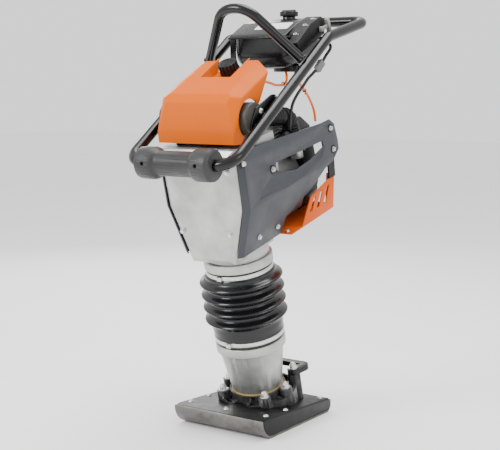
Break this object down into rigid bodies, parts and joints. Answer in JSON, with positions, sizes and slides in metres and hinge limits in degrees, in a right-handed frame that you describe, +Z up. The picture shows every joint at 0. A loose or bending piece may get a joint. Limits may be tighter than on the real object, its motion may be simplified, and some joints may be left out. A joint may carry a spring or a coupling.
{
  "type": "jumping jack rammer",
  "caption": "Upright engine-driven soil rammer: ribbed bellows leg on a steel-soled shoe, leaning crankcase with side panels, rubber-mounted tube handle with front roller.",
  "frame": {"origin": "centre of the shoe's flat underside, on the ground", "axes": "+X to the machine's left, -Y to the front where the roller is, +Y to the operator's bar, +Z up"},
  "size_m": [0.3442, 0.6998, 1.0991],
  "materials": {
    "worn_steel": "worn",
    "zinc": "zinc plated",
    "spring_steel": "satin",
    "sleeve_steel": "ground",
    "gear_steel": "machined",
    "cast_alloy": "as cast",
    "engine_alloy": "as cast",
    "foot_iron": "black paint",
    "shoe_black": "satin",
    "gasket_gold": "pressed fibre",
    "bellows_black": "glossy",
    "buffer_rubber": "matte",
    "hose_rubber": "matte",
    "panel_grey": "fine grain",
    "black_plastic": "fine grain",
    "knob_black": "satin",
    "roller_grey": "satin",
    "cover_orange": "satin",
    "guard_orange": "gloss",
    "tube_black": "gloss",
    "tank_black": "gloss",
    "filter_paper": "pleated",
    "plug_cap": "matte",
    "carb_zinc": "cast",
    "muffler_steel": "heat-stained",
    "lever_grey": "satin",
    "fuel_line": "translucent"
  },
  "bodies": {
    "foot": {"sole_plate": "worn_steel", "shoe_block": "shoe_black", "shoe_screws": "zinc", "foot_casting": "foot_iron", "foot_nuts": "zinc", "tie_loop": "foot_iron", "leg_gasket": "gasket_gold", "spring_cylinder": "cast_alloy", "inner_sleeve": "sleeve_steel", "lower_spring": "spring_steel", "upper_spring": "spring_steel", "lower_clamp": "zinc", "bellows": "bellows_black"},
    "piston": {"piston_rod": "sleeve_steel", "crosshead": "gear_steel"},
    "machine": {"crankcase": "cast_alloy", "front_cover": "cast_alloy", "cover_screws": "zinc", "guide_tube": "sleeve_steel", "neck_ring": "cast_alloy", "upper_clamp": "zinc", "left_panel": "panel_grey", "right_panel": "panel_grey", "panel_screws": "zinc", "filter_base": "black_plastic", "filter_element": "filter_paper", "filter_cover": "cover_orange", "filter_stud": "zinc", "engine_block": "engine_alloy", "cylinder_fins": "cast_alloy", "valve_cover": "cast_alloy", "spark_plug": "plug_cap", "fan_shroud": "black_plastic", "recoil_cover": "black_plastic", "carburettor": "carb_zinc", "intake_elbow": "hose_rubber", "muffler": "muffler_steel", "engine_guard": "guard_orange", "guard_bolts": "zinc", "rubber_buffers": "buffer_rubber"},
    "knob": {"filter_knob": "knob_black"},
    "choke": {"choke_lever": "black_plastic"},
    "crank": {"crank_gear": "gear_steel"},
    "rod": {"con_rod": "gear_steel", "wrist_pin": "gear_steel"},
    "clutch": {"pinion_shaft": "gear_steel", "clutch_drum": "gear_steel"},
    "engine_crank": {"crankshaft": "gear_steel", "flywheel": "cast_alloy"},
    "starter": {"starter_grip": "black_plastic"},
    "handle": {"handle_frame": "tube_black", "lifting_arch": "tube_black", "mount_plates": "tube_black", "mount_bolts": "zinc", "fuel_tank": "tank_black", "throttle_housing": "black_plastic", "fuel_hoses": "fuel_line"},
    "roller": {"roller": "roller_grey"},
    "fuel_cap": {"fuel_cap": "knob_black"},
    "throttle": {"throttle_lever": "lever_grey"}
  },
  "joints": [
    {"name": "spring_float", "type": "slide", "parent": "foot", "child": "piston", "axis": [0, -0.247, 0.969], "range_m": [-0.008, 0.008], "stiffness_N_per_m": 80000, "springref_m": 0.0006, "deforming": ["lower_spring", "upper_spring"]},
    {"name": "stroke", "type": "slide", "parent": "foot", "child": "machine", "axis": [0, -0.247, 0.969], "range_m": [-0.015, 0.045], "stiffness_N_per_m": 40000, "springref_m": 0.0095, "deforming": ["bellows"]},
    {"name": "crank_turn", "type": "hinge", "parent": "machine", "child": "crank", "pos_m": [0, -0.12585, 0.6444], "axis": [0, 0.969, 0.247], "continuous": true},
    {"name": "rod_turn", "type": "hinge", "parent": "crank", "child": "rod", "pos_m": [0, -0.12981, 0.6599], "axis": [0, 0.969, 0.247], "continuous": true},
    {"name": "pinion_turn", "type": "hinge", "parent": "machine", "child": "clutch", "pos_m": [0, -0.10906, 0.5785], "axis": [0, 0.969, 0.247], "continuous": true},
    {"name": "engine_turn", "type": "hinge", "parent": "machine", "child": "engine_crank", "pos_m": [0, -0.10906, 0.5785], "axis": [0, 0.969, 0.247], "continuous": true},
    {"name": "handle_rock", "type": "hinge", "parent": "machine", "child": "handle", "pos_m": [0, -0.19357, 0.81289], "axis": [1, 0, 0], "range_deg": [-3, 3], "stiffness_Nm_per_rad": 2500},
    {"name": "roller_turn", "type": "hinge", "parent": "handle", "child": "roller", "pos_m": [0, -0.3257, 0.7059], "axis": [1, 0, 0], "continuous": true},
    {"name": "cap_turn", "type": "hinge", "parent": "handle", "child": "fuel_cap", "pos_m": [0, 0.166, 1.0804], "axis": [0, 0, 1], "range_deg": [0, 90]},
    {"name": "knob_turn", "type": "hinge", "parent": "machine", "child": "knob", "pos_m": [0, -0.12045, 0.94494], "axis": [0, -0.506, 0.8625], "continuous": true},
    {"name": "choke_turn", "type": "hinge", "parent": "machine", "child": "choke", "pos_m": [0.1043, 0.06409, 0.74132], "axis": [1, 0, 0], "range_deg": [0, 60]},
    {"name": "throttle_turn", "type": "hinge", "parent": "handle", "child": "throttle", "pos_m": [0.137, 0.112, 1.04], "axis": [1, 0, 0], "range_deg": [0, 55]},
    {"name": "grip_pull", "type": "slide", "parent": "machine", "child": "starter", "axis": [0, 0.969, 0.247], "range_m": [0, 0.045], "stiffness_N_per_m": 30, "springref_m": -0.1}
  ],
  "couplings": [
    {"joint": "pinion_turn", "follows": "crank_turn", "ratio": -3.25},
    {"joint": "rod_turn", "follows": "crank_turn", "ratio": -1}
  ]
}
